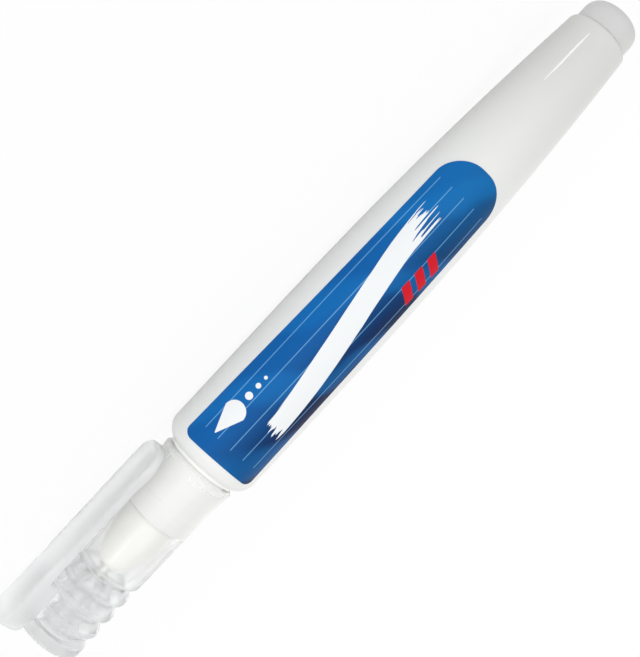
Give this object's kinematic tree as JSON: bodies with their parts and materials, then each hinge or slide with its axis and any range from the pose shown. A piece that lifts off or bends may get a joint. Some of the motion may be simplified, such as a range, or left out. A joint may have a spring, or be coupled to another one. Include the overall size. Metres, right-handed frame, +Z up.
{
  "type": "correction pen",
  "caption": "Squeeze-barrel correction pen with a sprung needle-valve metal tip, a loose mixing ball and a clear push-on cap with a moulded pocket clip, lying on its side.",
  "frame": {"origin": "on the pen's axis, in the middle of the barrel's straight grip", "axes": "+X along the pen towards the writing tip, +Z up with the pen lying on its barrel and on one edge of its clip, so that the table is one barrel radius below the origin"},
  "size_m": [0.1304, 0.0161, 0.016],
  "materials": {
    "barrel_plastic": "soft white squeeze plastic with a low sheen",
    "plug_plastic": "white plastic, slightly greyer than the barrel",
    "label_film": "glossy printed film, blue with white and red",
    "collar_plastic": "white moulded plastic",
    "nozzle_plastic": "cream-white moulded plastic",
    "tip_metal": "turned nickel-silver, fine lathe rings",
    "needle_steel": "ground steel",
    "spring_steel": "drawn steel wire",
    "retainer_plastic": "white moulded plastic",
    "ball_steel": "polished bearing steel",
    "cap_clear": "clear moulded plastic, slightly hazed",
    "seal_soft": "soft clear elastomer"
  },
  "bodies": {
    "pen_body": {"barrel": "barrel_plastic", "label": "label_film", "tail_plug": "plug_plastic", "neck_collar": "collar_plastic", "nozzle": "nozzle_plastic", "tip_sleeve": "tip_metal", "spring_retainer": "retainer_plastic", "valve_spring": "spring_steel"},
    "cap": {"cap": "cap_clear", "cap_tip_seal": "seal_soft"},
    "needle": {"valve_needle": "needle_steel"},
    "ball": {"mixing_ball": "ball_steel"}
  },
  "joints": [
    {"name": "cap_pull", "type": "slide", "parent": "pen_body", "child": "cap", "axis": [1, 0, 0], "range_m": [0, 0.04]},
    {"name": "needle_press", "type": "slide", "parent": "pen_body", "child": "needle", "axis": [-1, 0, 0], "range_m": [0, 0.0005], "stiffness_N_per_m": 200, "springref_m": -0.001, "deforming": ["valve_spring"]},
    {"name": "ball_shake", "type": "slide", "parent": "pen_body", "child": "ball", "axis": [-0.9996, 0, 0.0298], "range_m": [0, 0.0704]}
  ]
}
